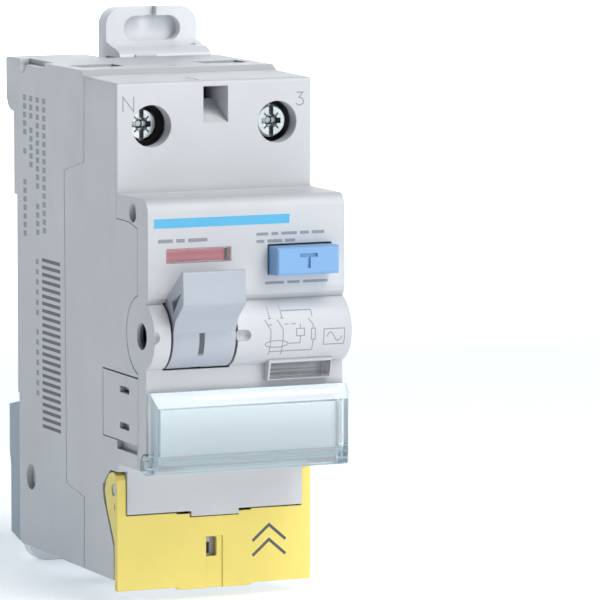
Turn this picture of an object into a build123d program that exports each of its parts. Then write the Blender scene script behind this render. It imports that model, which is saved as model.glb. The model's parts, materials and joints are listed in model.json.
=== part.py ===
from build123d import *
import os

# Residual current device, two modules wide, for a 35 mm rail.
# Frame: X across the front, rail behind at +Y, +Z up.
# Origin: middle of the width, on the rail seating plane, at the height of the rail's centre line.
# All sizes in millimetres. Outlines seen from the side are (y, z) points.

# ---- driving dimensions ----
MODULE = 17.5
HALF_WIDTH = MODULE
WALL = 1.6
INNER = HALF_WIDTH - WALL

# body heights and depths
TOP_Z = 41.6
COVER_TOP_Z = 40.8
BOTTOM_Z = -42.3
REAR_Y = 5.0
SEAT_Y = 0.0
SEAT_BOTTOM_Z = -16.2
SHOULDER_Y = -46.5
LOWER_FRONT_Y = -44.7
STEP_Z = -31.2

# nose
NOSE_TOP_Z = 22.4
NOSE_BOTTOM_Z = -22.4
NOSE_SEAM_Y = -55.8
COVER_NOSE_Y = NOSE_SEAM_Y + 0.1
NOSE_FRONT_Y = -60.2
GROOVE_Y = -59.3
GROOVE_Z = 5.35
CHEEK_R = 6.6
BULGE_R = 5.65

# toggle
PIVOT = (-57.5, 0.0)
DRUM_R = 5.6
TOGGLE_X = (-14.2, -3.2)
TRUNNION_R = 2.3
CRANK = (-54.38, -2.52)
LINK_R = 0.6
LINK_END = (-50.5, -11.5)

# contact carrier
CARRIER = (-40.0, -8.0)
CARRIER_PIN_R = 1.0
POLE_X = 11.25

# terminals
UPPER_SCREW_Z = 33.3
LOWER_SCREW_Z = -35.6
SCREW_HOLE_R = 3.5
HEAD_R = 2.8
HEAD_T = 2.0
SHANK_R = 2.4
BAR_FRONT_Y = -27.0
BAR_T = 1.7
CAGE_FRONT_Y = -29.3
CAGE_BACK_Y = -17.8
CAGE_HALF = 4.3
CAGE_HALF_Z = 4.5
CABLE_Y = (-24.6, -18.8)
CABLE_HALF = 4.0

# test button
BUTTON_X = (3.85, 14.95)
BUTTON_Z = (9.6, 14.2)
BUTTON_FACE_Y = -63.9

# label cover and terminal flap
COVER_PIVOT = (-58.6, -21.2)
COVER_TOP = -9.0
FLAP_PIVOT = (-44.7, -27.1)
FLAP_FRONT_Y = -46.1
FLAP_T = 1.2
FLAP_TOP_Z = -31.35
FLAP_TOP_R = 4.55
FLAP_TAB_R = 5.38
FLAP_BOTTOM_Z = -44.0
EAR_X = (15.85, 17.45)

# rail clips
CLIP_X = (-0.4, 16.6)
LOWER_CLIP_X = (-14.8, 2.2)
CLIP_Y = (1.5, 5.0)
CLIP_TIP_Z = 19.8
CLIP_TOP_Z = 49.7
CLIP_TRAVEL = 3.5
CLIP_MID = (CLIP_X[0] + CLIP_X[1]) / 2
LOWER_CLIP_MID = (LOWER_CLIP_X[0] + LOWER_CLIP_X[1]) / 2
SHELF_Z = 41.4

# trip lever
TRIP_PIVOT = (-46.0, -14.0)

# sensing toroid
TOROID = (0.0, -16.0)
CORE_R = (6.7, 12.5)
CORE_Z = (-16.5, -7.5)
WINDING_R = (5.5, 13.7)
WINDING_Z = (-17.7, -6.3)
LEAD_X = 2.7
LEAD_R = 1.4

GAP = 0.1
SEAM_GROOVE = 0.2


# ---- helpers ----
def block(x, y, z):
    """Box between the low and high values of each axis."""
    spans = [sorted(span) for span in (x, y, z)]
    size = [high - low for low, high in spans]
    middle = [(high + low) / 2 for low, high in spans]
    return Pos(*middle) * Box(*size)


def rod(axis, radius, span, at):
    """Cylinder along an axis over a span; at holds the other two coordinates in X, Y, Z order."""
    low, high = sorted(span)
    middle = (low + high) / 2
    body = Cylinder(radius, high - low)
    if axis == "X":
        return Pos(middle, at[0], at[1]) * Rot(0, 90, 0) * body
    if axis == "Y":
        return Pos(at[0], middle, at[1]) * Rot(90, 0, 0) * body
    return Pos(at[0], at[1], middle) * body


def side_prism(outline, x):
    """Solid with a (y, z) outline, from x[0] to x[1]."""
    low, high = sorted(x)
    face = Plane.YZ * make_face(Polyline(*outline, close=True))
    return Pos(low, 0, 0) * extrude(face, high - low, dir=(1, 0, 0))


def both_sides(shape):
    """The shape and its mirror image across the middle of the width."""
    return shape + mirror(shape, Plane.YZ)


def edges_near(shape, axis, **near):
    """Edges along an axis whose middles have the given X, Y or Z."""
    found = shape.edges().filter_by(axis)
    for name, value in near.items():
        found = found.filter_by(lambda edge: abs(getattr(edge.center(), name) - value) < 0.05)
    return found


def coil(radius, wire, pitch, turns, base, direction):
    """Helical wire spring that starts at base and runs along direction."""
    height = pitch * turns
    path = Helix(pitch, height, radius)
    section = Plane(path @ 0, z_dir=path % 0) * Circle(wire)
    spring = sweep(section, path=path)
    return Plane(base, z_dir=direction) * spring


def wire_run(points, bend, radius):
    """Round wire along straight runs joined by arcs."""
    path = FilletPolyline(*points, radius=bend)
    section = Plane(path @ 0, z_dir=path % 0) * Circle(radius)
    return sweep(section, path=path)


# ---- rear base ----
def rear_base():
    """Rear shell: rail seat, rear tooth, cable openings and the slot of the upper clip."""
    outline = [
        (-32.0, COVER_TOP_Z), (-31.6, COVER_TOP_Z), (-30.1, TOP_Z), (REAR_Y, TOP_Z), (REAR_Y, 34.8),
        (4.2, 33.2), (2.9, 32.5), (1.4, 32.4), (1.4, 18.1), (SEAT_Y, 18.1), (SEAT_Y, SEAT_BOTTOM_Z),
        (-0.6, SEAT_BOTTOM_Z), (-0.6, -41.4), (-1.5, BOTTOM_Z), (-31.0, BOTTOM_Z),
        (-31.2, -30.1), (-23.0, -28.8), (-22.5, 24.3), (-31.7, 26.4),
    ]
    cavity = [
        (-34.0, 39.9), (-0.6, 39.9), (-0.6, 18.1), (-1.8, 18.1), (-1.8, SEAT_BOTTOM_Z),
        (-2.4, SEAT_BOTTOM_Z), (-2.4, -40.7), (-34.0, -40.7),
    ]
    base = side_prism(outline, (-HALF_WIDTH, HALF_WIDTH))
    base = fillet(edges_near(base, Axis.X, Y=REAR_Y, Z=TOP_Z), 0.7)
    base -= side_prism(cavity, (-INNER, INNER))
    # notch and T slot of the upper clip
    base += block((-4.9, INNER), (-6.8, -0.6), (36.2, 39.9))
    base -= block((-3.3, HALF_WIDTH), (-5.7, REAR_Y), (37.8, TOP_Z))
    base -= block((-3.3, HALF_WIDTH), (1.4, REAR_Y), (30.0, TOP_Z))
    base += block((CLIP_MID - 4, CLIP_MID + 4), (-2.2, -0.6), (18.1, 36.2))
    base -= t_slot(CLIP_MID, (19.3, 38.0))
    # cable openings, top and bottom
    for x in (-POLE_X, POLE_X):
        base -= block((x - CABLE_HALF, x + CABLE_HALF), CABLE_Y, (39.0, 42.0))
        base -= block((x - CABLE_HALF, x + CABLE_HALF), CABLE_Y, (-43.0, -40.0))
    # shallow notch in the left top edge and round blind holes low on both sides
    base -= block((-HALF_WIDTH, -15.6), (-13.5, -1.6), (40.7, TOP_Z))
    base -= rod("X", 1.4, (-HALF_WIDTH, -16.4), (-2.9, 40.6))
    for side in (-1, 1):
        base -= rod("X", 2.2, (side * HALF_WIDTH, side * 16.4), (-6.1, -30.1))
    # short fine grooves in the top
    base -= block((-3.4, 1.8), (-20.4, -20.0), (41.2, TOP_Z))
    base -= block((0.0, 1.6), (-26.2, -25.4), (41.2, TOP_Z))
    return base


def t_slot(x, z):
    """Slot cutter for a clip's T tongue."""
    return block((x - 2.0, x + 2.0), (0.4, 1.6), z) + block((x - 3.0, x + 3.0), (-0.5, 0.5), z)


def t_tongue(x, z):
    """A clip's T tongue, 0.1 mm smaller than its slot all round."""
    neck = block((x - 1.9, x + 1.9), (0.3, CLIP_Y[0]), z)
    return neck + block((x - 2.9, x + 2.9), (-0.4, 0.4), z)


def clip_guide():
    """Plate below the rail seat that guides the lower clip."""
    outline = [(-0.6, -17.7), (4.3, -18.7), (4.3, -27.0), (3.7, -29.5), (3.7, -41.0), (-0.6, -42.0)]
    guide = side_prism(outline, (-HALF_WIDTH, HALF_WIDTH))
    guide -= block((LOWER_CLIP_X[0] - GAP, LOWER_CLIP_X[1] + GAP), (1.4, REAR_Y), (-43, -17))
    guide -= t_slot(LOWER_CLIP_MID, (-43.0, -19.3))
    # right half: two wide grooves that lighten the plate
    for x in (3.8, 10.4):
        guide -= block((x, x + 5.2), (2.6, REAR_Y), (-39.5, -21.0))
    return guide


# ---- rail clips ----
def clip_plate(x, tip, end):
    """Clip plate from its hook tip to its rounded handle end; x is (low, high)."""
    way = 1 if end > tip else -1
    plate = block(x, CLIP_Y, (tip, end))
    plate = fillet(edges_near(plate, Axis.Y, Z=end), 3.2)
    middle = (x[0] + x[1]) / 2
    slot = Pos(middle + 0.1, CLIP_Y[0], end - way * 3.8) * Rot(90, 0, 0) * SlotOverall(10.5, 4.4)
    plate -= extrude(slot, 2.2, dir=(0, 1, 0))
    notch_z = (end - way * 2.0, end + way)
    plate -= block((middle - 1.1, middle + 0.9), (CLIP_Y[0] - 1, CLIP_Y[0] + 1.6), notch_z)
    # lead-in chamfer on the hook
    plate -= side_prism(
        [(CLIP_Y[0] - 1, tip - way), (CLIP_Y[0] + 1.1, tip - way), (CLIP_Y[0] + 1.1, tip),
         (CLIP_Y[0], tip + way * 1.4), (CLIP_Y[0] - 1, tip + way * 1.4)], x)
    return plate


def rail_clip_upper():
    """Upper clip, pulled out: plate, handle shelf and T tongue."""
    clip = clip_plate(CLIP_X, CLIP_TIP_Z, CLIP_TOP_Z)
    shelf = [
        (CLIP_Y[0], 43.8), (-1.2, 43.1), (-2.9, 42.9), (-4.2, 42.5), (-4.9, 42.0), (-5.2, 41.5),
        (-5.2, SHELF_Z), (CLIP_Y[0], SHELF_Z),
    ]
    clip += side_prism(shelf, CLIP_X)
    clip += block((2.4, 6.2), (-5.5, -5.0), (SHELF_Z, 41.9))
    clip -= rod("Z", 0.45, (42.2, 45.0), (14.9, -0.9))
    clip += t_tongue(CLIP_MID, (23.3, 31.5))
    return clip


def rail_clip_lower():
    """Lower clip, locked: the hook reaches 1.2 mm behind the rail's lower edge."""
    tip = -(CLIP_TIP_Z - CLIP_TRAVEL)
    clip = clip_plate(LOWER_CLIP_X, tip, -(CLIP_TOP_Z - CLIP_TRAVEL))
    return clip + t_tongue(LOWER_CLIP_MID, (-28.0, -19.8))


# ---- front cover ----
def front_cover():
    """Front shell with shoulders, open nose, screw shafts, comb pocket and flap trunnions."""
    outline = [
        (-32.0, COVER_TOP_Z), (SHOULDER_Y, COVER_TOP_Z - 0.2), (SHOULDER_Y, 18.3), (-52.3, 18.2),
        (COVER_NOSE_Y, 17.4), (COVER_NOSE_Y, NOSE_BOTTOM_Z), (SHOULDER_Y, NOSE_BOTTOM_Z),
        (SHOULDER_Y, STEP_Z), (LOWER_FRONT_Y, STEP_Z), (LOWER_FRONT_Y, BOTTOM_Z), (-31.0, BOTTOM_Z),
        (-31.2, -30.1), (-23.0, -28.8), (-22.5, 24.3), (-31.7, 26.4),
    ]
    inside = [
        (-20.0, 39.2), (-44.9, 39.2), (-44.9, 16.7), (-58.0, 16.7), (-58.0, -20.8), (-44.9, -20.8),
        (-44.9, -32.6), (-43.1, -32.6), (-43.1, -40.7), (-20.0, -40.7),
    ]
    cover = side_prism(outline, (-HALF_WIDTH, HALF_WIDTH))
    cover = fillet(edges_near(cover, Axis.X, Y=SHOULDER_Y, Z=COVER_TOP_Z - 0.2), 0.6)
    cover = fillet(edges_near(cover, Axis.Z, Y=SHOULDER_Y), 0.4)
    cover -= side_prism(inside, (-INNER, INNER))
    cover -= rod("X", CHEEK_R, (-20, 20), PIVOT)
    cover -= both_sides(rod("X", CHEEK_R + SEAM_GROOVE, (17.2, 18.0), PIVOT))
    # pads behind the flap's ears, tab under the step, shafts around the screws, comb pocket
    cover += both_sides(block((14.2, INNER), (SHOULDER_Y + 0.4, -40.0), (STEP_Z, -20.8)))
    cover += both_sides(block((14.2, INNER), (LOWER_FRONT_Y + 0.4, -40.0), (-40.7, STEP_Z)))
    cover += block((-4.25, 4.25), (SHOULDER_Y, LOWER_FRONT_Y), (-32.1, STEP_Z))
    for x in (-POLE_X, POLE_X):
        cover += rod("Y", 4.4, (-44.9, -43.6), (x, UPPER_SCREW_Z))
        cover += rod("Y", 4.4, (-43.1, -41.2), (x, LOWER_SCREW_Z))
    cover += block((-3.4, 3.8), (-44.9, -36.7), (32.0, 39.2))
    for x in (-POLE_X, POLE_X):
        cover -= rod("Y", SCREW_HOLE_R, (-48.0, -38.0), (x, UPPER_SCREW_Z))
        cover -= rod("Y", SCREW_HOLE_R, (-44.8, -38.0), (x, LOWER_SCREW_Z))
    ramp = [(-47.0, 33.3), (-38.3, 37.7), (-38.3, 39.6), (-47.0, 39.6)]
    cover -= side_prism(ramp, (-2.0, 2.4))
    cover -= block((0.9, 2.4), (-40.0, -36.0), (37.0, 39.15))
    cover = cover - both_sides(ear_recess()) - both_sides(hatch_recess()) - seam_groove()
    # fine line in the top, slit behind the window of the flap
    cover -= block((-2.5, -2.2), (-45.4, -39.4), (40.3, COVER_TOP_Z))
    cover -= block((-0.95, -0.4), (LOWER_FRONT_Y, -43.0), (-38.8, -36.9))
    cover += both_sides(rod("X", 0.95, (15.6, 17.3), FLAP_PIVOT))
    # bosses that hold the carrier pin
    boss = rod("X", 2.4, (14.5, INNER), CARRIER) - rod("X", CARRIER_PIN_R + 0.03, (14.5, 15.6), CARRIER)
    cover += both_sides(boss)
    # seat of the test button's spring, hanging from the nose roof
    seat = block((5.4, 13.4), (-48.0, -46.8), (9.0, 16.7)) - rod("Y", 1.8, (-49, -46), (9.4, 11.9))
    return cover + seat


def seam_groove():
    """Cutter for the fine groove where the front cover meets the rear base."""
    seam = [
        (-32.0, COVER_TOP_Z + 1), (-31.7, 26.4), (-22.5, 24.3), (-23.0, -28.8), (-31.2, -30.1),
        (-31.0, BOTTOM_Z - 1),
    ]
    band = seam + [(y - SEAM_GROOVE, z) for y, z in reversed(seam)]
    groove = side_prism(band, (-18, 18))
    return groove - block((-17.1, 17.1), (-34, -20), (BOTTOM_Z + 0.4, COVER_TOP_Z - 0.4))


def ear_recess():
    """Cutter for the space of the right ear and arm of the terminal flap."""
    outline = [
        (-48.0, -23.9), (-43.2, -23.9), (-40.6, -26.0), (-40.3, -28.4), (-41.4, -31.2), (-44.6, -36.6),
        (-44.6, -43.0), (-48.0, -43.0),
    ]
    recess = side_prism(outline, (EAR_X[0] - GAP, HALF_WIDTH + 1))
    sweep_room = rod("X", 4.95, (EAR_X[0] - GAP, HALF_WIDTH + 1), FLAP_PIVOT)
    return recess + (sweep_room & block((14, 19), (-50, -39), (-33, FLAP_PIVOT[1] + 0.6)))


def hatch_recess():
    """Cutter for the right side hatch and the finger gap below it."""
    pocket = block((16.5, 18.0), (-56.0, -40.0), (-18.5, -7.05))
    finger = block((16.5, 18.0), (-55.4, -46.4), (-19.9, -18.5))
    coupling = block((15.0, 18.0), (-51.8, -43.5), (-15.5, -10.0))
    return pocket + finger + coupling


def accessory_hatch(side):
    """Snap-in plate over the opening where a side accessory couples to the mechanism."""
    x = (side * 16.5, side * (HALF_WIDTH - 0.02))
    plate = block(x, (NOSE_SEAM_Y + 0.15, -40.15), (-18.35, -7.3))
    for z in (-15.8, -9.75):
        plate -= block(x, (-51.8, -47.7), (z - 0.55, z + 0.55))
    return plate


# ---- nose fascia ----
def nose_fascia():
    """Front of the nose, with the cheeks around the toggle and all its windows."""
    outline = [
        (SHOULDER_Y, NOSE_TOP_Z), (NOSE_FRONT_Y, NOSE_TOP_Z), (NOSE_FRONT_Y, 7.2), (-60.0, 6.3),
        (GROOVE_Y, GROOVE_Z), (GROOVE_Y, NOSE_BOTTOM_Z), (NOSE_SEAM_Y, NOSE_BOTTOM_Z),
        (NOSE_SEAM_Y, 17.5), (-52.3, 18.3), (SHOULDER_Y, 18.4),
    ]
    full = (-HALF_WIDTH, HALF_WIDTH)
    fascia = side_prism(outline, full)
    fascia = fillet(edges_near(fascia, Axis.X, Y=NOSE_FRONT_Y, Z=NOSE_TOP_Z), 2.2)
    fascia += rod("X", BULGE_R, full, PIVOT)
    fascia += rod("X", CHEEK_R, full, PIVOT) & block(full, (-58.0, -50.0), (-7, 7))
    # hooded frame of the trip window
    frame = [
        (-58.0, -4.45), (-61.0, -4.45), (-61.3, -4.75), (-61.2, -5.4), (-60.6, -7.6), (-60.4, -8.0),
        (-58.0, -8.0),
    ]
    fascia += side_prism(frame, (3.5, 14.75))
    # hollow inside
    inner = (-INNER, INNER)
    fascia -= block(inner, (-58.6, -48.1), (5.0, 20.8))
    fascia -= block(inner, (-57.7, -48.0), (-20.8, 5.1))
    fascia -= rod("X", BULGE_R - WALL, inner, PIVOT)
    fascia += rod("X", 5.2, (-2.7, -1.2), PIVOT)
    # sleeve of the test button
    fascia += block((2.9, INNER), (-58.7, -55.0), (8.65, 15.25))
    fascia -= block((3.7, 15.1), (-61.0, -54.0), (9.45, 14.45))
    # toggle space, trunnion bores and countersinks
    fascia -= rod("X", DRUM_R + 0.25, (-14.6, -2.8), PIVOT)
    fascia -= block((-14.6, -2.8), (-66.0, -57.5), (-5.0, 5.0))
    fascia -= rod("X", TRUNNION_R + 0.05, (-15.9, 0.0), PIVOT)
    fascia -= rod("X", 3.4, (-16.9, -15.8), PIVOT) + rod("X", 2.2, (-20.0, -16.0), PIVOT)
    fascia -= rod("X", TRUNNION_R + 0.05, (15.0, 20.0), PIVOT)
    # finger scoop beside the toggle, dent in the left corner, sealing channel on the right
    scoop = [
        (-64.6, -0.6), (-63.5, 1.2), (-62.7, 2.9), (-61.6, 4.5), (-60.5, 5.4), (-60.3, 6.0), (-65.0, 6.0),
        (-65.0, -0.6),
    ]
    fascia -= side_prism(scoop, (-17.1, -14.4))
    fascia -= Pos(-17.75, -63.3, 0.35) * Sphere(1.15)
    fascia -= rod("X", 0.9, (-3.0, -1.4), (-63.1, 0.0)) + Pos(-1.4, -63.1, 0.0) * Sphere(0.9)
    # windows
    fascia -= block((-14.3, -2.8), (-62.0, -58.0), (12.0, 14.4))
    fascia -= block((3.8, 14.55), (-62.0, -57.0), (-7.8, -5.05))
    # hinge corners of the label cover, with their pins
    fascia += both_sides(block((14.3, INNER + 0.1), (GROOVE_Y, -56.2), (NOSE_BOTTOM_Z, -19.0)))
    corner = rod("X", 1.95, (16.2, 18.0), COVER_PIVOT)
    corner += block((16.2, 18.0), (-60.0, COVER_PIVOT[0]), (-23.0, -19.25))
    fascia -= both_sides(corner)
    fascia += both_sides(rod("X", 0.8, (16.1, 17.35), COVER_PIVOT))
    # blind coupling holes near the top corners
    for side in (-1, 1):
        fascia -= rod("X", 1.55, (side * HALF_WIDTH, side * 16.5), (-53.7, 19.9))
    return fascia


def label_card():
    """Paper card behind the label cover."""
    return block((-15.5, 16.1), (GROOVE_Y - 0.35, GROOVE_Y), (-19.8, -10.6))


def label_cover():
    """Clear hinged cover: a shallow tray with bevelled edges, side lugs and pin holes."""
    width = (-HALF_WIDTH + 0.1, HALF_WIDTH - 0.1)
    outline = [
        (-60.0, COVER_TOP), (-60.9, COVER_TOP), (-62.6, -11.4), (-62.7, -20.2), (-61.7, NOSE_BOTTOM_Z),
        (-60.0, NOSE_BOTTOM_Z),
    ]
    hollow = [(-59.9, -9.9), (-61.6, -11.9), (-61.7, -20.1), (-59.9, -20.1)]
    tray = side_prism(outline, width)
    # side bevels
    bevels = [
        [(-18, -60.0), (-18, -63.2), (-16.3, -63.2), (-17.4, -61.2)],
        [(18, -60.0), (18, -63.2), (16.9, -63.2), (17.4, -62.0)],
    ]
    for edge in bevels:
        face = make_face(Polyline(*edge, close=True))
        tray -= Pos(0, 0, -25) * extrude(face, 20, dir=(0, 0, 1))
    tray -= side_prism(hollow, (-15.9, 16.5))
    # grip groove along the lower edge
    tray -= block((-15.6, 15.6), (-64.0, -62.35), (-20.75, -20.4))
    tray -= block((-11.8, 10.1), (-64.0, -61.9), (-23.0, -21.5))
    lug = rod("X", 1.7, (16.35, 17.4), COVER_PIVOT)
    lug += block((16.35, 17.4), (-60.2, COVER_PIVOT[0]), (COVER_PIVOT[1] - 1.2, COVER_PIVOT[1] + 1.5))
    tray += both_sides(lug)
    tray -= both_sides(rod("X", 0.85, (16.0, 18.0), COVER_PIVOT))
    return tray


def contact_window():
    """Clear lens over the contact flag."""
    return block((-14.25, -2.85), (-60.15, -58.75), (12.05, 14.35))


def trip_window():
    """Clear lens over the trip flag."""
    return block((3.85, 14.5), (-60.5, -58.0), (-7.75, -5.1))


def contact_flag():
    """Two-colour flag that follows the contacts."""
    return block((-13.9, -3.2), (-58.3, -57.5), (8.3, 14.9))


def trip_flag():
    """Flag that drops behind the trip window."""
    return block((4.4, 14.5), (-57.5, -56.9), (-8.4, -2.6))


# ---- toggle and its link ----
def toggle_lever():
    """Lever: drum on trunnions, finger wedge, crank hole and accessory socket."""
    wedge = [
        (-67.3, 11.7), (-62.8, 8.4), (-59.75, 5.5), (-57.5, 3.0), (-57.5, 0.0), (-62.9, 0.6), (-64.1, 3.1),
        (-67.4, 5.9),
    ]
    lever = side_prism(wedge, TOGGLE_X)
    lever = fillet(edges_near(lever, Axis.X, Y=-67.3, Z=11.7), 0.35)
    lever = fillet(edges_near(lever, Axis.X, Y=-67.4, Z=5.9), 0.8)
    lever = fillet(edges_near(lever, Axis.X, Y=-64.1, Z=3.1), 1.8)
    lever += rod("X", DRUM_R, TOGGLE_X, PIVOT)
    lever -= side_prism([(-66.6, 7.9), (-62.4, 6.1), (-63.1, 4.2)], (TOGGLE_X[0] - 1, TOGGLE_X[0] + 0.9))
    lever += rod("X", TRUNNION_R, (-15.8, 1.6), PIVOT)
    space = [(-53.2, -1.0), (-50.5, -5.0), (-55.5, -8.0), (-60.0, -7.0), (-60.3, -5.82), (-54.8, -1.9)]
    lever -= side_prism(space, (-9.6, -7.8))
    lever -= rod("X", LINK_R + 0.05, (-11.0, -6.4), CRANK)
    return lever - rod("X", 1.85, (-17.0, -10.5), PIVOT)


def toggle_link():
    """Bent wire from the toggle's crank hole to the carrier's slot."""
    points = [(-10.9, *CRANK), (-8.7, *CRANK), (-8.7, *LINK_END), (-4.6, *LINK_END)]
    top = rod("X", LINK_R, (-10.9, -6.5), CRANK)
    leg = wire_run(points[1:], 0.9, LINK_R)
    ball = Pos(*points[1]) * Sphere(LINK_R)
    return top + ball + leg


def toggle_spring():
    """Torsion spring around the right trunnion."""
    return coil(2.85, 0.3, 0.72, 2.8, (-0.9, *PIVOT), (1, 0, 0))


# ---- contacts ----
def contact_carrier():
    """Moulded shaft that carries both moving contacts."""
    carrier = rod("X", 2.6, (-14.3, 14.3), CARRIER)
    lug = [
        (-52.4, -9.2), (-52.4, -13.2), (-47.4, -13.3), (-39.0, -10.4), (-39.0, -5.6), (-42.0, -6.0),
        (-47.4, -9.0),
    ]
    carrier += side_prism(lug, (-7.4, -4.8))
    for x in (-POLE_X, POLE_X):
        holder = [
            (-40.2, -8.0), (-40.2, 3.0), (-37.8, 3.0), (-37.0, 8.0), (-35.8, 8.0), (-35.8, 1.0),
            (-38.0, -8.0),
        ]
        carrier += side_prism(holder, (x - 2.8, x + 2.8))
    carrier -= rod("X", CARRIER_PIN_R + 0.05, (-15, 15), CARRIER)
    # the link's lower end sweeps this slot with 0.1 to 0.2 clearance
    return carrier - block((-8.1, -4.1), (-51.25, -48.35), (-12.25, -10.2))


def carrier_pin():
    """Steel pin between the side walls."""
    return rod("X", CARRIER_PIN_R, (-15.55, 15.55), CARRIER)


def contact_arm(x):
    """Moving contact: copper arm with a silvered tip."""
    arm = block((x - 2.3, x + 2.3), (-41.4, -40.2), (-2.5, 14.5))
    arm = fillet(edges_near(arm, Axis.Y, Z=14.5), 1.2)
    return arm + rod("Y", 1.7, (-42.4, -41.4), (x, 12.0))


def contact_springs():
    """One pressure spring behind each moving contact."""
    springs = [coil(1.5, 0.25, 0.6, 3.0, (x, -39.88, 6.0), (0, 1, 0)) for x in (-POLE_X, POLE_X)]
    return Compound(children=springs)


def contact_braids():
    """Flexible braids from the moving contacts to the pole leads."""
    braids = []
    for x in (-POLE_X, POLE_X):
        points = [(x, -40.2, 12.6), (x, -37.2, 12.6), (x, -33.0, 16.0), (x, -26.5, 13.0), (x, -26.5, 6.0)]
        braids.append(wire_run(points, 1.6, 0.9))
    return Compound(children=braids)


def pole_lead(side):
    """Stiff copper lead from the braid through the toroid to the lower terminal bar."""
    x = side * POLE_X
    hole = side * LEAD_X
    points = [
        (x, -26.5, 6.0), (x, -26.5, -0.5), (hole, TOROID[1], -0.5), (hole, TOROID[1], -23.0),
        (x, -26.5, -23.0), (x, -26.5, -27.0),
    ]
    return wire_run(points, 2.4, LEAD_R)


# ---- terminals ----
def terminal_screw(x, z, face_y):
    """Combination-head clamp screw whose tip bears on the terminal bar."""
    screw = rod("Y", HEAD_R, (face_y, face_y + HEAD_T), (x, z))
    screw = chamfer(screw.edges().filter_by(GeomType.CIRCLE).sort_by(Axis.Y)[0], 0.4)
    screw += rod("Y", SHANK_R, (face_y + HEAD_T, BAR_FRONT_Y - 0.05), (x, z))
    screw -= block((x - 0.4, x + 0.4), (face_y, face_y + 1.0), (z - HEAD_R, z + HEAD_R))
    screw -= block((x - 1.7, x + 1.7), (face_y, face_y + 1.3), (z - 0.45, z + 0.45))
    screw -= Pos(x, face_y + 0.8, z) * Rot(90, 0, 0) * Cone(0.5, 1.2, 1.6)
    tick = Box(0.22, 0.6, 3.6)
    return screw - Pos(x, face_y, z) * (Rot(0, 45, 0) * tick + Rot(0, -45, 0) * tick)


def terminal_cage(x, z):
    """Clamp cage, open: the screw's thread pulls it towards the front."""
    inside = CAGE_HALF - 0.9
    height = (z - CAGE_HALF_Z, z + CAGE_HALF_Z)
    outer = block((x - CAGE_HALF, x + CAGE_HALF), (CAGE_FRONT_Y, CAGE_BACK_Y), height)
    inner = block((x - inside, x + inside), (CAGE_FRONT_Y + 1.2, CAGE_BACK_Y - 1.2), (z - 6, z + 6))
    return outer - inner - rod("Y", SHANK_R + 0.05, (CAGE_FRONT_Y - 1, CAGE_FRONT_Y + 2), (x, z))


def terminal_bar_upper(x):
    """Copper bar from the clamp down to the fixed contact pad."""
    rear_y = BAR_FRONT_Y + BAR_T
    half = CAGE_HALF - 1.2
    bar = block((x - half, x + half), (BAR_FRONT_Y, rear_y), (24.0, 37.6))
    bar += block((x - half, x + half), (-44.6, rear_y), (24.0, 25.4))
    bar += block((x - half, x + half), (-44.6, -43.4), (9.6, 25.4))
    bar = fillet(edges_near(bar, Axis.X, Y=-44.6, Z=25.4), 1.0)
    return bar + rod("Y", 1.7, (-43.4, -42.42), (x, 12.0))


def terminal_bar_lower(x):
    """Copper bar from the lower clamp to the end of the pole lead."""
    half = CAGE_HALF - 1.2
    rear_y = BAR_FRONT_Y + BAR_T
    bar = block((x - half, x + half), (BAR_FRONT_Y, rear_y), (-39.6, -27.0))
    return bar + block((x - half, x + half), (-28.2, rear_y), (-28.3, -27.0))


# ---- test circuit ----
def test_button():
    """Test button: key with an engraved letter, retaining flange and stem."""
    key = block(BUTTON_X, (BUTTON_FACE_Y, -54.9), BUTTON_Z)
    key = chamfer(key.edges().filter_by(lambda edge: edge.center().Y < BUTTON_FACE_Y + 0.01), 0.3)
    key += block((3.1, 15.7), (-54.9, -53.9), (8.8, 15.0))
    key += rod("Y", 1.5, (-53.9, -47.2), (9.4, 11.9))
    key -= block((7.9, 11.0), (BUTTON_FACE_Y, BUTTON_FACE_Y + 0.35), (12.5, 13.1))
    key -= block((9.2, 9.75), (BUTTON_FACE_Y, BUTTON_FACE_Y + 0.35), (10.7, 12.5))
    return key


def test_spring():
    """Return spring of the test button."""
    return coil(2.2, 0.25, 1.3, 4.0, (9.4, -53.6, 11.9), (0, 1, 0))


def test_contact():
    """Bronze blade behind the test button's stem."""
    blade = block((4.4, 14.4), (-45.2, -44.85), (9.6, 14.2))
    return blade + block((4.4, 6.0), (-45.2, -44.85), (14.2, 16.7))


def test_resistor():
    """Resistor of the test circuit, with its two leads."""
    return rod("Z", 1.7, (12.0, 21.0), (3.8, -40.0)) + rod("Z", 0.35, (9.0, 24.0), (3.8, -40.0))


# ---- sensing and trip parts ----
def ring(radii, z):
    """Ring around the toroid's axis."""
    return rod("Z", radii[1], z, TOROID) - rod("Z", radii[0], (z[0] - 1, z[1] + 1), TOROID)


def toroid_core():
    """Wound tape core."""
    return ring(CORE_R, CORE_Z)


def toroid_winding():
    """Secondary winding over the rear part of the core."""
    sector = block((-14, 14), (-12.0, 0.0), (-20, 0))
    winding = (ring(WINDING_R, WINDING_Z) & sector) - ring(CORE_R, CORE_Z)
    return winding


def sense_wires():
    """Pair of thin wires from the winding to the trip relay."""
    wires = []
    for x in (5.6, 7.0):
        points = [(x, -9.5, WINDING_Z[1]), (x, -9.5, 2.0), (x, -46.6, 2.0)]
        wires.append(wire_run(points, 1.5, 0.3))
    return Compound(children=wires)


def relay_case():
    """Trip relay case, open at the rear."""
    case = block((3.0, 14.8), (-56.4, -47.6), (-4.2, 6.2))
    case -= block((3.9, 13.9), (-55.5, -47.0), (-3.3, 5.3))
    return case - rod("Z", 1.1, (-5.0, -3.0), (6.4, -51.6))


def relay_lid():
    """Rear lid of the trip relay."""
    return block((3.0, 14.8), (-47.6, -46.6), (-4.2, 6.2))


def relay_coil():
    """Relay coil."""
    return rod("Z", 2.3, (-3.1, 5.1), (6.4, -51.6)) - rod("Z", 1.2, (-4, 6), (6.4, -51.6))


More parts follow.
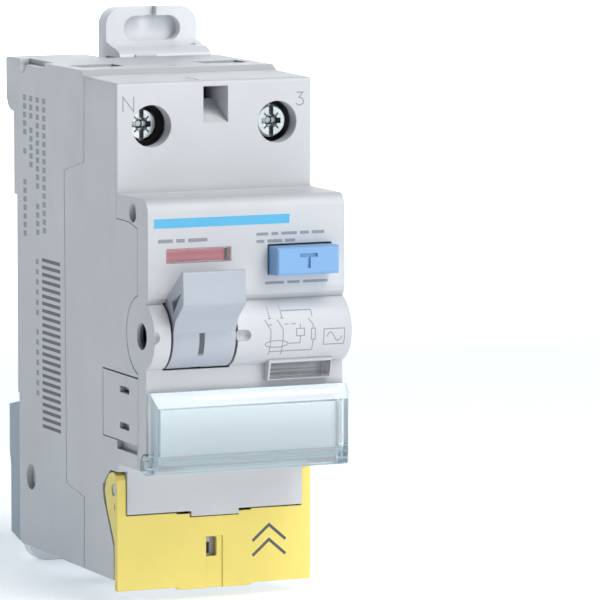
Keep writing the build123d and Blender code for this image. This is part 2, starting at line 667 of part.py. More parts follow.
def relay_magnet():
    """Permanent magnet beside the coil."""
    return block((9.2, 13.4), (-54.6, -48.6), (-3.2, 5.2))


def relay_plunger():
    """Plunger that strikes the trip lever."""
    return rod("Z", 1.0, (-7.2, 2.0), (6.4, -51.6))


def trip_lever():
    """Lever between the relay's plunger and the carrier's latch."""
    lever = rod("X", 1.9, (4.4, 8.4), TRIP_PIVOT)
    arm = [(-46.6, -15.6), (-53.4, -9.6), (-53.4, -7.9), (-50.4, -7.9), (-45.4, -12.4)]
    lever += side_prism(arm, (5.4, 7.4))
    return lever - rod("X", 0.85, (4, 9), TRIP_PIVOT)


def trip_pin():
    """Pin of the trip lever."""
    return rod("X", 0.8, (2.6, 10.2), TRIP_PIVOT)


def trip_bracket():
    """Steel bracket that holds the trip pin."""
    bracket = block((3.0, 9.8), (-49.0, -42.0), (-19.4, -18.6))
    for x in ((3.0, 3.8), (9.0, 9.8)):
        bracket += block(x, (-48.4, -43.6), (-18.7, -11.6))
    return bracket - rod("X", 0.83, (2, 11), TRIP_PIVOT)


def trip_spring():
    """Return spring of the trip lever."""
    return coil(2.4, 0.2, 0.5, 1.2, (7.7, *TRIP_PIVOT), (1, 0, 0))


def phase_barrier():
    """Insulating wall between the poles."""
    return block((-0.5, 0.5), (-36.0, -24.0), (10.0, 39.2))


def terminal_flap():
    """Hinged flap over the lower terminals: plate, two arms with ears, window and hinge holes."""
    width = (-HALF_WIDTH + 0.05, HALF_WIDTH - 0.05)
    thickness = (FLAP_FRONT_Y, FLAP_FRONT_Y + FLAP_T)
    plate = block(width, thickness, (FLAP_BOTTOM_Z, FLAP_TOP_Z))
    plate += block((-6.6, 6.6), thickness, (FLAP_BOTTOM_Z - 0.4, FLAP_BOTTOM_Z))
    # top edge round the hinge line, lower at the tab and at two fine slits, so that the flap swings clear
    plate -= rod("X", FLAP_TOP_R, (-EAR_X[0] + GAP, EAR_X[0] - GAP), FLAP_PIVOT)
    plate -= rod("X", FLAP_TAB_R, (-4.4, 4.4), FLAP_PIVOT)
    for x in ((-6.8, -4.3), (4.3, 6.7)):
        plate -= rod("X", FLAP_TOP_R + 0.2, x, FLAP_PIVOT)
    # shallow strip with the window that shows whether the flap is down
    plate -= block((-1.5, 1.5), (FLAP_FRONT_Y, FLAP_FRONT_Y + 0.25), (FLAP_BOTTOM_Z - 1, -35.7))
    window = block((-1.5, 0.5), (-48, -44), (-39.1, -35.8))
    plate -= fillet(window.edges().filter_by(Axis.Y), 0.35)
    ear = side_prism(
        [(FLAP_FRONT_Y, -25.4), (-45.7, -24.6), (-44.4, -24.1), (-42.6, -24.6), (-41.2, -25.9),
         (-40.6, -27.8), (-41.7, -30.8), (-44.9, -36.0), (FLAP_FRONT_Y, -36.0)], EAR_X)
    ear += block((EAR_X[0], EAR_X[1]), thickness, (-40.0, -30.0))
    ear -= rod("X", 1.0, (15, 18), FLAP_PIVOT)
    ear -= block((15, 18), (-45.2, -44.8), (-30.4, -29.4))
    return plate + both_sides(ear)


# ---- write every piece ----
PARTS = {
    "rear_base": rear_base(),
    "front_cover": front_cover(),
    "nose_fascia": nose_fascia(),
    "accessory_hatch_left": accessory_hatch(-1),
    "accessory_hatch_right": accessory_hatch(1),
    "clip_guide": clip_guide(),
    "rail_clip_upper": rail_clip_upper(),
    "rail_clip_lower": rail_clip_lower(),
    "label_cover": label_cover(),
    "label_card": label_card(),
    "terminal_flap": terminal_flap(),
    "contact_window": contact_window(),
    "trip_window": trip_window(),
    "contact_flag": contact_flag(),
    "trip_flag": trip_flag(),
    "toggle_lever": toggle_lever(),
    "toggle_link": toggle_link(),
    "toggle_spring": toggle_spring(),
    "contact_carrier": contact_carrier(),
    "carrier_pin": carrier_pin(),
    "contact_arm_left": contact_arm(-POLE_X),
    "contact_arm_right": contact_arm(POLE_X),
    "contact_springs": contact_springs(),
    "contact_braids": contact_braids(),
    "pole_lead_left": pole_lead(-1),
    "pole_lead_right": pole_lead(1),
    "screw_upper_left": terminal_screw(-POLE_X, UPPER_SCREW_Z, -42.0),
    "screw_upper_right": terminal_screw(POLE_X, UPPER_SCREW_Z, -44.0),
    "screw_lower_left": terminal_screw(-POLE_X, LOWER_SCREW_Z, -43.0),
    "screw_lower_right": terminal_screw(POLE_X, LOWER_SCREW_Z, -43.0),
    "cage_upper_left": terminal_cage(-POLE_X, UPPER_SCREW_Z),
    "cage_upper_right": terminal_cage(POLE_X, UPPER_SCREW_Z),
    "cage_lower_left": terminal_cage(-POLE_X, LOWER_SCREW_Z),
    "cage_lower_right": terminal_cage(POLE_X, LOWER_SCREW_Z),
    "bar_upper_left": terminal_bar_upper(-POLE_X),
    "bar_upper_right": terminal_bar_upper(POLE_X),
    "bar_lower_left": terminal_bar_lower(-POLE_X),
    "bar_lower_right": terminal_bar_lower(POLE_X),
    "test_button": test_button(),
    "test_spring": test_spring(),
    "test_contact": test_contact(),
    "test_resistor": test_resistor(),
    "toroid_core": toroid_core(),
    "toroid_winding": toroid_winding(),
    "sense_wires": sense_wires(),
    "relay_case": relay_case(),
    "relay_lid": relay_lid(),
    "relay_coil": relay_coil(),
    "relay_magnet": relay_magnet(),
    "relay_plunger": relay_plunger(),
    "trip_lever": trip_lever(),
    "trip_pin": trip_pin(),
    "trip_bracket": trip_bracket(),
    "trip_spring": trip_spring(),
    "phase_barrier": phase_barrier(),
}

os.makedirs("parts", exist_ok=True)
for node, shape in PARTS.items():
    export_step(shape, f"parts/{node}.step")
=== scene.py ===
import json
import math

import bmesh
import bpy
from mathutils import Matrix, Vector
from mathutils.bvhtree import BVHTree


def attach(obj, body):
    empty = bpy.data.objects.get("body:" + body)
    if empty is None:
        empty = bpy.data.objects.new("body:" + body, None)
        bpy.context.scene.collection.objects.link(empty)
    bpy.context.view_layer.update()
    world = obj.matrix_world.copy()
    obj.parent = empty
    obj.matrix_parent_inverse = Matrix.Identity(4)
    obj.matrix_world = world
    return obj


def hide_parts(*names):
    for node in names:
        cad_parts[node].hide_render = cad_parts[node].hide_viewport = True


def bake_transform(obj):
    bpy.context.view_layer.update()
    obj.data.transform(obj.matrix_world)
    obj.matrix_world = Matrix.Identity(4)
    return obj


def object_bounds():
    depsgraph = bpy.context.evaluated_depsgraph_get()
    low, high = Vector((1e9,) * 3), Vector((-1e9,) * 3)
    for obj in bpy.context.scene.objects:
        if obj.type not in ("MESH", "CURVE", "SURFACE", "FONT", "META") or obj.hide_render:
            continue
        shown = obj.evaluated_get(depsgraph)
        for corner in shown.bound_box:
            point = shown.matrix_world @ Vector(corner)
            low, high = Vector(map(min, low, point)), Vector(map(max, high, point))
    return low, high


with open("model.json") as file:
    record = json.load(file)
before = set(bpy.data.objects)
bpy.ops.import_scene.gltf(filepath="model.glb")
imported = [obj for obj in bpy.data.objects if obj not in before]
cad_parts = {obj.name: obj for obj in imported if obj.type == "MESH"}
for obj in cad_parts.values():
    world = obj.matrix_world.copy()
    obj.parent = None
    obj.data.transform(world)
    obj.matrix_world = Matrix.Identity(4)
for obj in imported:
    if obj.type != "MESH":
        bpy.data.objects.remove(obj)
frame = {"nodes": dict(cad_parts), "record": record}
cad_low, cad_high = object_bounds()

# Residual current device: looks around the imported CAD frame.
# Metres, same frame as the CAD: X across the front, rail behind at +Y, +Z up.

MM = 0.001
nodes = frame["nodes"]


# ---- shader helpers ----
class Shader:
    """A new material with a Principled surface, and short ways to add and link nodes."""

    def __init__(self, name):
        self.material = bpy.data.materials.new(name)
        self.material.use_nodes = True
        self.tree = self.material.node_tree
        self.surface = self.tree.nodes["Principled BSDF"]
        self.place = self.node("ShaderNodeTexCoord").outputs["Object"]

    def node(self, kind, **settings):
        made = self.tree.nodes.new(kind)
        for key, value in settings.items():
            setattr(made, key, value)
        return made

    def put(self, value, socket):
        """Links a socket, or sets a constant."""
        if isinstance(value, bpy.types.NodeSocket):
            self.tree.links.new(value, socket)
        else:
            socket.default_value = value

    def noise(self, size, detail=3.0, stretch=(1, 1, 1)):
        """Noise from 0 to 1 with features about the given size, in metres."""
        mapping = self.node("ShaderNodeMapping")
        self.put(self.place, mapping.inputs["Vector"])
        mapping.inputs["Scale"].default_value = stretch
        texture = self.node("ShaderNodeTexNoise")
        self.put(mapping.outputs["Vector"], texture.inputs["Vector"])
        texture.inputs["Scale"].default_value = 1 / size
        texture.inputs["Detail"].default_value = detail
        return texture.outputs["Fac"]

    def remap(self, value, old, new):
        """Maps the old range to the new one, clamped."""
        mapped = self.node("ShaderNodeMapRange")
        self.put(value, mapped.inputs["Value"])
        for key, number in zip(("From Min", "From Max", "To Min", "To Max"), (*old, *new)):
            mapped.inputs[key].default_value = number
        return mapped.outputs["Result"]

    def spread(self, value, low, high):
        """Maps 0.3..0.7, the usual reach of noise, to low..high."""
        return self.remap(value, (0.3, 0.7), (low, high))

    def mix(self, factor, first, second):
        """Colour mix; first and second are colours or sockets."""
        mixed = self.node("ShaderNodeMix", data_type="RGBA")
        self.put(factor, mixed.inputs["Factor"])
        inputs = [socket for socket in mixed.inputs if socket.type == "RGBA"]
        self.put(first, inputs[0])
        self.put(second, inputs[1])
        return next(socket for socket in mixed.outputs if socket.type == "RGBA")

    def bump(self, height, strength, depth, below=None):
        """Normal with a height texture of the given depth, on top of the normal below it."""
        made = self.node("ShaderNodeBump")
        made.inputs["Strength"].default_value = strength
        made.inputs["Distance"].default_value = depth
        self.put(height, made.inputs["Height"])
        if below is not None:
            self.put(below, made.inputs["Normal"])
        return made.outputs["Normal"]

    def rounded(self, radius):
        """Normal with edges rounded over a radius."""
        bevel = self.node("ShaderNodeBevel", samples=4)
        bevel.inputs["Radius"].default_value = radius
        return bevel.outputs["Normal"]

    def edges(self, radius):
        """1 near edges, 0 on flat faces."""
        geometry = self.node("ShaderNodeNewGeometry")
        dot = self.node("ShaderNodeVectorMath", operation="DOT_PRODUCT")
        self.put(self.rounded(radius), dot.inputs[0])
        self.put(geometry.outputs["Normal"], dot.inputs[1])
        return self.remap(dot.outputs["Value"], (1.0, 0.75), (0.0, 1.0))

    def recesses(self, reach):
        """1 on open faces, towards 0 in corners and slots deeper than the reach."""
        shade = self.node("ShaderNodeAmbientOcclusion", samples=8)
        shade.inputs["Distance"].default_value = reach
        return shade.outputs["AO"]

    def darken(self, tint, dark, reach, thresholds, amount):
        """Painted shade: mixes a tint towards a dark colour where corners and slots are deeper than the
        reach.
        """
        return self.mix(self.remap(self.recesses(reach), thresholds, (amount, 0.0)), tint, dark)

    def set(self, **values):
        """Sets or links sockets of the surface; underscores stand for spaces."""
        for key, value in values.items():
            self.put(value, self.surface.inputs[key.replace("_", " ")])
        return self


def rgb(red, green, blue, alpha=1.0):
    """Linear colour from sRGB values of 0 to 255."""
    def linear(value):
        value /= 255
        return value / 12.92 if value <= 0.04045 else ((value + 0.055) / 1.055) ** 2.4
    return (linear(red), linear(green), linear(blue), alpha)


def scaled(colour, factor):
    """The colour made darker or lighter, opaque."""
    return tuple(min(1.0, c * factor) for c in colour[:3]) + (1.0,)


# ---- materials ----
# plastic: how strongly its edges get a painted highlight and wear smoother, and how far and how strongly
# its corners get painted shade
WEAR_AND_HIGHLIGHT = 0.25
SHADE_REACH = 2.4 * MM
SHADE = 0.45


def moulded(name, colour, rough=(0.42, 0.55), grain=0.12, edge=0.22, coat=0.0, ribs=0.0,
            gloom=0.85, depth=4.0, thresholds=(0.02, 0.15), glow=0.0):
    """Moulded plastic: eroded grain, flow waves, slow tint changes, polished edges with a painted
    highlight, painted shade in deep recesses.

    Recesses deeper than the depth go dark by the gloom, as painted shade; a glow is painted light. Edge and
    depth are in millimetres.
    """
    m = Shader(name)
    fine = m.noise(0.11 * MM, 2.0)
    waves = m.noise(2.6 * MM, 2.0)
    cloud = m.noise(11 * MM, 3.0)
    specks = m.noise(0.5 * MM, 4.0)
    edge_mask = m.edges(edge * MM)
    tint = m.mix(m.spread(cloud, 0, 1), scaled(colour, 0.965), scaled(colour, 1.02))
    tint = m.mix(m.spread(specks, 0.0, 0.10), tint, scaled(colour, 0.86))
    if ribs:
        # level light and dark streaks take the place of the slow changes
        streaks = m.noise(0.45 * MM, 2.0, (0.02, 0.02, 1))
        bright = m.remap(streaks, (0.42, 0.58), (0.0, ribs))
        tint = m.mix(bright, scaled(colour, 0.78), scaled(colour, 2.2))
    # painted highlight: the edges turn lighter, and they are worn smoother too
    polish_and_highlight = m.node("ShaderNodeMath", operation="MULTIPLY")
    m.put(edge_mask, polish_and_highlight.inputs[0])
    m.put(m.spread(specks, 0.3 * WEAR_AND_HIGHLIGHT, WEAR_AND_HIGHLIGHT), polish_and_highlight.inputs[1])
    tint = m.mix(polish_and_highlight.outputs[0], tint, scaled(colour, 1.18))
    # painted shade: darker in corners, near black in slots deeper than the depth
    if gloom:
        tint = m.darken(tint, scaled(colour, 0.4), SHADE_REACH, (0.3, 0.75), SHADE)
        tint = m.darken(tint, scaled(colour, 0.06), depth * MM, thresholds, gloom)
    # the edges with the painted highlight are also worn smoother
    roughness = m.node("ShaderNodeMix", data_type="FLOAT")
    m.put(polish_and_highlight.outputs[0], roughness.inputs["Factor"])
    m.put(m.spread(m.noise(5 * MM), *rough), roughness.inputs[2])
    roughness.inputs[3].default_value = rough[0] - 0.12
    normal = m.rounded(edge * MM)
    normal = m.bump(waves, 0.05, 0.05 * MM, normal)
    normal = m.bump(fine, grain, 0.012 * MM, normal)
    m.set(Base_Color=tint, Roughness=roughness.outputs[0], Normal=normal, Coat_Weight=coat)
    # painted light: the part glows by itself
    if glow:
        m.set(Emission_Color=tint, Emission_Strength=glow)
    return m.material


# metal: how deep a recess has to be to get painted shade
RECESS_SHADE_REACH = 1.2 * MM


def metal(name, colour, rough, brushed=(1, 1, 1), pits=0.1, recess_shade=0.0):
    """Plated or drawn metal: directional polish lines, duller patches, painted highlights on the edges,
    painted shade in recesses.
    """
    m = Shader(name)
    edge = 0.12 * MM
    lines = m.noise(0.12 * MM, 4.0, brushed)
    patches = m.noise(1.8 * MM, 4.0)
    tint = m.mix(m.spread(patches, 0, 1), scaled(colour, 0.8), colour)
    # painted highlight along the edges
    tint = m.mix(m.edges(edge), tint, scaled(colour, 1.2))
    # painted shade in recesses
    if recess_shade:
        tint = m.darken(tint, scaled(colour, 0.04), RECESS_SHADE_REACH, (0.25, 0.85), recess_shade)
    normal = m.bump(lines, pits, 0.01 * MM, m.rounded(edge))
    m.set(Base_Color=tint, Roughness=m.spread(lines, *rough), Normal=normal, Metallic=1.0)
    return m.material


# clear plastic: colour of the painted reflection of the lamps above on its upper faces, and how opaque its
# rim is
CLEAR_TOP_REFLECTION = rgb(182, 196, 206)
RIM_ALPHA = 0.6


def clear(name, colour, rim, rim_width, body_alpha, top_alpha, glow):
    """Clear moulding: tinted rim, a painted grey reflection on its upper faces, a glossy skin, and a
    painted glow in place of the light the plastic collects.

    The rim is in millimetres. The glow has two strengths, for flat faces and for the rim.
    """
    m = Shader(name)
    edge_mask = m.edges(rim_width * MM)
    waves = m.noise(4 * MM, 2.0)
    scuffs = m.noise(0.35 * MM, 5.0, (1, 1, 5))
    # painted reflection: upper faces turn grey and more opaque, as if lit from above
    split = m.node("ShaderNodeSeparateXYZ")
    m.put(m.node("ShaderNodeNewGeometry").outputs["Normal"], split.inputs[0])
    top_reflection = m.remap(split.outputs["Z"], (0.25, 0.5), (0.0, 1.0))
    tint = m.mix(edge_mask, m.mix(top_reflection, colour, CLEAR_TOP_REFLECTION), rim)
    alpha = m.node("ShaderNodeMath", operation="MAXIMUM")
    m.put(m.remap(edge_mask, (0.0, 1.0), (body_alpha, RIM_ALPHA)), alpha.inputs[0])
    m.put(m.remap(top_reflection, (0.0, 1.0), (0.0, top_alpha)), alpha.inputs[1])
    normal = m.bump(waves, 0.05, 0.03 * MM, m.rounded(0.25 * MM))
    roughness = m.spread(scuffs, 0.03, 0.10)
    m.set(Base_Color=tint, Roughness=roughness, Normal=normal, Alpha=alpha.outputs[0], IOR=1.49)
    skin = m.node("ShaderNodeBsdfGlossy")
    m.put(roughness, skin.inputs["Roughness"])
    m.put(normal, skin.inputs["Normal"])
    fresnel = m.node("ShaderNodeFresnel")
    fresnel.inputs["IOR"].default_value = 1.6
    m.put(normal, fresnel.inputs["Normal"])
    layered = m.node("ShaderNodeMixShader")
    m.put(fresnel.outputs[0], layered.inputs[0])
    m.put(m.surface.outputs[0], layered.inputs[1])
    m.put(skin.outputs[0], layered.inputs[2])
    # painted light: the faces and most of all the rim glow by themselves
    painted_glow = m.node("ShaderNodeEmission")
    m.put(tint, painted_glow.inputs["Color"])
    m.put(m.remap(edge_mask, (0.0, 1.0), glow), painted_glow.inputs["Strength"])
    whole = m.node("ShaderNodeAddShader")
    m.put(layered.outputs[0], whole.inputs[0])
    m.put(painted_glow.outputs[0], whole.inputs[1])
    m.put(whole.outputs[0], m.tree.nodes["Material Output"].inputs["Surface"])
    return m.material


def paper(name, colour):
    """Card with fibres."""
    m = Shader(name)
    fibres = m.noise(0.25 * MM, 5.0, (0.3, 1, 1))
    tint = m.mix(m.spread(fibres, 0, 1), scaled(colour, 0.97), colour)
    normal = m.bump(fibres, 0.25, 0.01 * MM)
    return m.set(Base_Color=tint, Roughness=m.spread(fibres, 0.75, 0.9), Normal=normal).material


# ink: how much its thin places brighten
INK_GAPS = 0.15


def ink(name, colour):
    """Pad-printed ink: slightly uneven cover and a satin surface."""
    m = Shader(name)
    uneven = m.noise(0.18 * MM, 4.0)
    tint = m.mix(m.spread(uneven, 0.0, INK_GAPS), colour, scaled(colour, 1.35))
    normal = m.bump(uneven, 0.1, 0.004 * MM)
    return m.set(Base_Color=tint, Roughness=m.spread(uneven, 0.4, 0.6), Normal=normal).material


HOUSING = rgb(212, 213, 216)
# stretch of the lines in metal
ACROSS_X = (0.05, 1, 1)
ROUND_Y = (1, 0.05, 1)
LAYERS = (1, 1, 8)

# moulded parts with a gloom get painted shade in corners and recesses
MATERIALS = {
    "housing_grey": moulded("housing_grey", HOUSING, gloom=0.55),
    "clip_white": moulded("clip_white", rgb(238, 240, 244), rough=(0.35, 0.45), grain=0.05),
    "guide_blue_grey": moulded("guide_blue_grey", rgb(166, 181, 193), grain=0.08),
    "toggle_blue_grey": moulded("toggle_blue_grey", rgb(186, 191, 200), rough=(0.38, 0.48), grain=0.06),
    "button_blue": moulded("button_blue", rgb(132, 178, 226), rough=(0.28, 0.38), grain=0.04, edge=0.16),
    "flap_yellow": moulded("flap_yellow", rgb(252, 230, 122), rough=(0.36, 0.48), grain=0.07),
    # the cover's faces and rim, and the lens's rim, glow by themselves: painted light
    "cover_clear": clear("cover_clear", rgb(224, 242, 250), rgb(150, 218, 242), rim_width=0.6,
                         body_alpha=0.08, top_alpha=0.62, glow=(0.035, 0.22)),
    "lens_clear": clear("lens_clear", rgb(236, 240, 242), rgb(226, 231, 236), rim_width=0.3,
                        body_alpha=0.03, top_alpha=0.0, glow=(0.0, 0.25)),
    # the red flag glows by itself: painted light
    "flag_red": moulded("flag_red", rgb(255, 104, 124), grain=0.05, ribs=0.4, gloom=0.0, glow=0.17),
    "flag_dark": moulded("flag_dark", rgb(150, 153, 160), grain=0.05, ribs=0.8, gloom=0.0),
    "card_white": paper("card_white", rgb(240, 249, 253)),
    # the screws get painted shade in their recesses
    "zinc_steel": metal("zinc_steel", rgb(204, 212, 213), (0.12, 0.28), recess_shade=0.92),
    "spring_steel": metal("spring_steel", rgb(180, 182, 186), (0.2, 0.35)),
    "copper": metal("copper", rgb(214, 142, 106), (0.25, 0.42), ACROSS_X),
    "enamel_copper": metal("enamel_copper", rgb(176, 92, 48), (0.15, 0.3), ROUND_Y, pits=0.3),
    "core_tape": metal("core_tape", rgb(150, 156, 164), (0.3, 0.5), LAYERS, pits=0.4),
    "relay_black": moulded("relay_black", rgb(44, 45, 48), rough=(0.4, 0.55)),
    "mechanism_cream": moulded("mechanism_cream", rgb(222, 214, 194), rough=(0.5, 0.62)),
    "resistor_beige": moulded("resistor_beige", rgb(206, 186, 150), rough=(0.3, 0.4), coat=0.4),
    "wire_sleeve": moulded("wire_sleeve", rgb(222, 224, 228), rough=(0.5, 0.6), grain=0.2),
    "ink_grey": ink("ink_grey", rgb(150, 153, 160)),
    "ink_dark": ink("ink_dark", rgb(88, 91, 98)),
    "ink_blue": ink("ink_blue", rgb(92, 184, 226)),
}

# the nose gets painted shade that goes black in its narrow gaps only, so that its wall behind the label
# cover stays light
FASCIA = moulded("housing_grey_front", HOUSING, gloom=0.95, depth=0.7, thresholds=(0.12, 0.36))

slot_of = {entry["node"]: entry["material_slot"] for entry in frame["record"]["subparts"]}
for name, obj in nodes.items():
    obj.data.materials.clear()
    obj.data.materials.append(FASCIA if name == "nose_fascia" else MATERIALS[slot_of[name]])

# the test spring shortens between the button's collar and its seat in the housing
coil = bpy.data.objects.new("test_spring_coil", nodes["test_spring"].data.copy())
coil.matrix_world = nodes["test_spring"].matrix_world.copy()
bpy.context.scene.collection.objects.link(coil)
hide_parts("test_spring")
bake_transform(coil)


# ---- prints ----
# ink stands this high on the surface, and reaches this far into it
INK_HEIGHT = 0.008 * MM
INK_SINK = 0.02 * MM
STEP = 0.4 * MM
SHARPEST_MITRE = 0.4
RING_POINTS = 30
# ways of looking at the object, from a place outside it
OUTSIDE = -0.1
FRONT = Vector((0, 1, 0))
LEFT = Vector((1, 0, 0))


def neighbours(items, closed):
    """Each item with the next one; a closed row also joins its last item to its first."""
    return zip(items, items[1:] + items[:1] if closed else items[1:])


def divided(corners, closed):
    """The corners and points between them, at most a step apart."""
    path = []
    for start, end in neighbours(corners, closed):
        count = max(1, math.ceil((end - start).length / STEP))
        path += [start.lerp(end, i / count) for i in range(count)]
    return path if closed else path + corners[-1:]


def sideways(before, here, after, half):
    """From a point of a path to the edge of its strip, mitred between the steps before and after it."""
    steps = [(b - a).normalized() for a, b in ((before, here), (here, after)) if (b - a).length]
    sides = [Vector((-step.y, step.x)) for step in steps]
    across = sum(sides, Vector((0, 0))).normalized()
    return across * half / max(SHARPEST_MITRE, across.dot(sides[0]))


class Print:
    """Ink on one CAD node: closed strips that follow its surface, seen from the front or the left."""

    def __init__(self, node, way=FRONT):
        source = nodes[node]
        corners = [source.matrix_world @ vertex.co for vertex in source.data.vertices]
        self.surface = BVHTree.FromPolygons(corners, [face.vertices for face in source.data.polygons])
        self.way = way
        self.bm = bmesh.new()

    def land(self, point):
        """Where a (u, v) point in metres meets the surface; u runs across and v up."""
        u, v = point
        start = Vector((u, OUTSIDE, v)) if self.way is FRONT else Vector((OUTSIDE, u, v))
        return self.surface.ray_cast(start, self.way)[0]

    def stroke(self, points, width, closed=False):
        """Strip of even width along (u, v) points in millimetres, mitred at its corners."""
        path = divided([Vector(point) * MM for point in points], closed)
        befores = (path[-1:] if closed else path[:1]) + path[:-1]
        afters = path[1:] + (path[:1] if closed else path[-1:])
        sections = []
        for before, here, after in zip(befores, path, afters):
            side = sideways(before, here, after, width * MM / 2)
            lands = [self.land(here + side), self.land(here - side)]
            tops = [self.bm.verts.new(spot - self.way * INK_HEIGHT) for spot in lands]
            feet = [self.bm.verts.new(spot + self.way * INK_SINK) for spot in lands]
            sections.append((tops[0], tops[1], feet[1], feet[0]))
        for first, second in neighbours(sections, closed):
            for (one, two), (three, four) in zip(neighbours(first, True), neighbours(second, True)):
                self.bm.faces.new((one, two, four, three))
        if not closed:
            self.bm.faces.new(sections[0])
            self.bm.faces.new(sections[-1][::-1])
        return self

    def ring(self, centre, radius, width, squash):
        """Closed ring, flattened upright by the squash factor."""
        u, v = centre
        angles = [math.radians(360 / RING_POINTS * i) for i in range(RING_POINTS)]
        points = [(u + radius * math.cos(a), v + squash * radius * math.sin(a)) for a in angles]
        return self.stroke(points, width, closed=True)

    def words(self, start, lengths, gap, width, down=False):
        """Row of plain bars where the object carries small writing, to the right or down from its start."""
        u, v = start
        for length in lengths:
            end = (u, v - length) if down else (u + length, v)
            self.stroke([(u, v), end], width)
            u, v = (u, end[1] - gap) if down else (end[0] + gap, v)
        return self

    def finish(self, name, body, slot_name):
        """Makes the ink a piece that rides on a body."""
        bmesh.ops.recalc_face_normals(self.bm, faces=self.bm.faces)
        mesh = bpy.data.meshes.new(name)
        self.bm.to_mesh(mesh)
        self.bm.free()
        obj = bpy.data.objects.new(name, mesh)
        bpy.context.scene.collection.objects.link(obj)
        mesh.materials.append(MATERIALS[slot_name])
        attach(obj, body)


# neutral and pole marks beside the upper screws
MARK = 0.2
marks = Print("front_cover")
marks.stroke([(-16.3, 35.8), (-16.3, 38.3), (-14.4, 35.8), (-14.4, 38.3)], MARK)
marks.stroke([(14.75, 38.1), (15.9, 38.1), (15.2, 37.25), (15.75, 37.1), (16.05, 36.7), (15.95, 36.2),
              (15.5, 35.95), (15.0, 36.0), (14.65, 36.3)], MARK)
marks.finish("print_pole_marks", "housing", "ink_grey")

# stripe across the nose
stripe = Print("nose_fascia")
stripe.stroke([(-16.4, 18.6), (7.6, 18.6)], 1.55)
stripe.finish("print_stripe", "housing", "ink_blue")

# bars in place of the small writing
bars = Print("nose_fascia")
bars.words((1.7, 16.2), (2.1, 1.2, 2.8, 1.6, 2.2), gap=0.55, width=0.5)
bars.words((1.7, 15.0), (1.4, 2.6, 1.8), gap=0.55, width=0.5)
bars.words((3.2, 8.1), (3.4, 2.2, 4.4), gap=0.6, width=0.45)
bars.words((-15.7, 15.7), (2.6, 1.5, 3.4), gap=0.6, width=0.6)
bars.finish("print_bars", "housing", "ink_grey")

# wiring diagram: two switched poles, sensing ring, trip coil and test branch
LINE = 0.17
diagram = Print("nose_fascia")
for pole in (3.0, 5.2):
    diagram.stroke([(pole, 4.5), (pole, 2.5)], LINE)
    diagram.stroke([(pole - 0.9, 2.3), (pole, 0.7), (pole, -3.6)], LINE)
    diagram.stroke([(pole - 0.3, 2.5), (pole + 0.3, 2.5)], LINE)
diagram.ring((4.1, -1.7), 2.0, LINE, squash=0.28)
diagram.stroke([(6.1, -1.7), (8.3, -1.7), (8.3, -0.5)], LINE)
diagram.stroke([(7.6, -0.5), (9.0, -0.5), (9.0, 0.7), (7.6, 0.7)], LINE, closed=True)
diagram.stroke([(8.3, 0.7), (8.3, 1.5)], LINE)
for start in (7.5, 6.3, 3.3):
    diagram.stroke([(start, 1.5), (start - 0.8, 1.5)], LINE)
diagram.stroke([(5.3, 3.6), (10.6, 3.6), (10.6, 2.5)], LINE)
diagram.stroke([(9.9, 2.3), (10.6, 1.2), (10.6, 0.6)], LINE)
diagram.stroke([(10.25, 0.6), (10.95, 0.6), (10.95, -1.2), (10.25, -1.2)], LINE, closed=True)
diagram.stroke([(10.6, -1.2), (10.6, -3.0), (3.1, -3.0)], LINE)
# wave in a frame: the kind of residual current
diagram.stroke([(12.5, -2.2), (16.2, -2.2), (16.2, 0.4), (12.5, 0.4)], LINE, closed=True)
WAVE_STEPS = 24
wave = [(13.0 + 2.7 * i / WAVE_STEPS, -0.9 + 0.75 * math.sin(math.radians(360 / WAVE_STEPS * i)))
        for i in range(WAVE_STEPS + 1)]
diagram.stroke(wave, LINE)
diagram.finish("print_diagram", "housing", "ink_grey")

# on mark of the toggle
on_mark = Print("toggle_lever")
on_mark.stroke([(-9.15, -3.0), (-9.15, 0.75)], 0.95)
on_mark.finish("print_on_mark", "toggle", "ink_dark")

# two chevrons on the terminal flap: lift here
chevrons = Print("terminal_flap")
for peak in (-34.4, -36.9):
    chevrons.stroke([(6.9, peak - 2.6), (9.9, peak), (12.9, peak - 2.6)], 0.5)
chevrons.finish("print_lift_mark", "terminal_flap", "ink_dark")

# painted shade: grey ink strips where the latch behind the flap's window lies in shadow, on both sides of
# its slit
latch = Print("front_cover")
for across, width in ((-1.32, 0.68), (0.15, 1.0)):
    latch.stroke([(across, -39.6), (across, -35.4)], width)
latch.finish("painted_shade_latch", "housing", "ink_grey")

# columns of short blocks in place of the writing on the left side
side = Print("rear_base", LEFT)
for y, top, count in ((-13.1, 35.6, 16), (-10.0, 35.6, 11), (-10.0, 17.4, 4), (-6.9, 35.6, 3),
                      (-6.9, 30.2, 5), (-3.9, 35.6, 5), (-3.9, 26.4, 1), (-3.9, 21.1, 7)):
    side.words((y, top), [0.95] * count, gap=0.52, width=1.5, down=True)
for top, count in ((7.9, 6), (-4.2, 7)):
    side.words((-9.6, top), [0.9] * count, gap=0.85, width=1.3, down=True)
side.finish("print_side", "housing", "ink_grey")

# even stripes below them, which hold no data
STRIPES_TOP = 8.0
STRIPE_PITCH = 1.24
STRIPE_COUNT = 24
stripes = Print("rear_base", LEFT)
for row in range(STRIPE_COUNT):
    level = STRIPES_TOP - STRIPE_PITCH * row
    stripes.stroke([(-20.5, level), (-11.9, level)], 0.6)
stripes.finish("print_side_stripes", "housing", "ink_dark")

# ---- camera, light, floor ----
# the camera was solved from the outline of the object in the photograph
CAMERA_PLACE = Vector((-361.0, -915.4, 113.9)) * MM
CAMERA_AIM = Vector((11.2, -56.2, 4.5)) * MM
LENS_MM = 342.2
SENSOR_MM = 36
CLIP_START = 0.05

camera_data = bpy.data.cameras.new("camera")
camera_data.lens = LENS_MM
camera_data.sensor_width = SENSOR_MM
camera_data.clip_start = CLIP_START
camera = bpy.data.objects.new("camera", camera_data)
camera.location = CAMERA_PLACE
camera.rotation_euler = (CAMERA_AIM - CAMERA_PLACE).to_track_quat("-Z", "Y").to_euler()
bpy.context.scene.collection.objects.link(camera)
bpy.context.scene.camera = camera


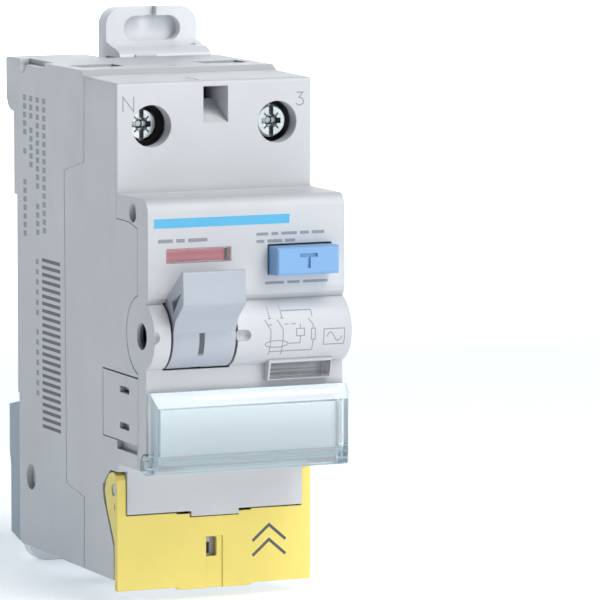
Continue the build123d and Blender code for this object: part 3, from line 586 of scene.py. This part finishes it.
def area_light(name, place, aim, size, power):
    """Rectangular lamp turned towards its aim; places and size in metres, power in watts."""
    data = bpy.data.lights.new(name, "AREA")
    data.shape = "RECTANGLE"
    data.size, data.size_y = size
    data.energy = power
    lamp = bpy.data.objects.new(name, data)
    lamp.location = place
    lamp.rotation_euler = (Vector(aim) - Vector(place)).to_track_quat("-Z", "Y").to_euler()
    bpy.context.scene.collection.objects.link(lamp)


MIDDLE = (cad_low + cad_high) / 2
area_light("key", (0.45, -0.80, 0.50), MIDDLE, (0.45, 0.60), 3.3)
area_light("fill", (0.10, -1.00, 0.06), (0, -0.04, -0.03), (0.60, 0.16), 0.85)
area_light("top", (0.18, -0.48, 0.75), MIDDLE, (0.5, 0.4), 4.1)
area_light("backdrop", (0.3, 0.6, 0.9), (0.5, 1.8, 0.4), (1.6, 0.6), 31.0)

# weak blue light from all around
world = bpy.data.worlds.new("studio")
bpy.context.scene.world = world
world.use_nodes = True
sky = world.node_tree.nodes["Background"]
sky.inputs["Color"].default_value = (0.55, 0.8, 1.0, 1)
sky.inputs["Strength"].default_value = 0.08
bpy.context.scene.view_settings.view_transform = "Standard"


def floor():
    """Pale, faintly lit floor that curves up far behind the object."""
    mesh = bpy.data.meshes.new("floor")
    bm = bmesh.new()
    reach, flat, bend, rise, steps = 2.0, 1.0, 0.8, 1.6, 10
    angles = [math.radians(90 / steps * (i + 1)) for i in range(steps)]
    profile = [(-reach, 0.0), (flat, 0.0)]
    profile += [(flat + bend * math.sin(a), bend - bend * math.cos(a)) for a in angles]
    profile += [(flat + bend, rise)]
    rows = [[bm.verts.new((x, y, cad_low.z + z)) for x in (-reach, reach)] for y, z in profile]
    for low, high in zip(rows, rows[1:]):
        bm.faces.new((low[0], low[1], high[1], high[0])).smooth = True
    bm.to_mesh(mesh)
    bm.free()
    obj = bpy.data.objects.new("floor", mesh)
    bpy.context.scene.collection.objects.link(obj)
    m = Shader("floor_paint")
    cloud = m.noise(0.05, 3.0)
    tint = m.mix(m.spread(cloud, 0, 1), (0.90, 0.90, 0.91, 1), (0.93, 0.93, 0.935, 1))
    m.set(Base_Color=tint, Roughness=m.spread(cloud, 0.75, 0.85))
    m.set(Emission_Color=(0.87, 0.94, 1.0, 1), Emission_Strength=0.43)
    mesh.materials.append(m.material)


floor()
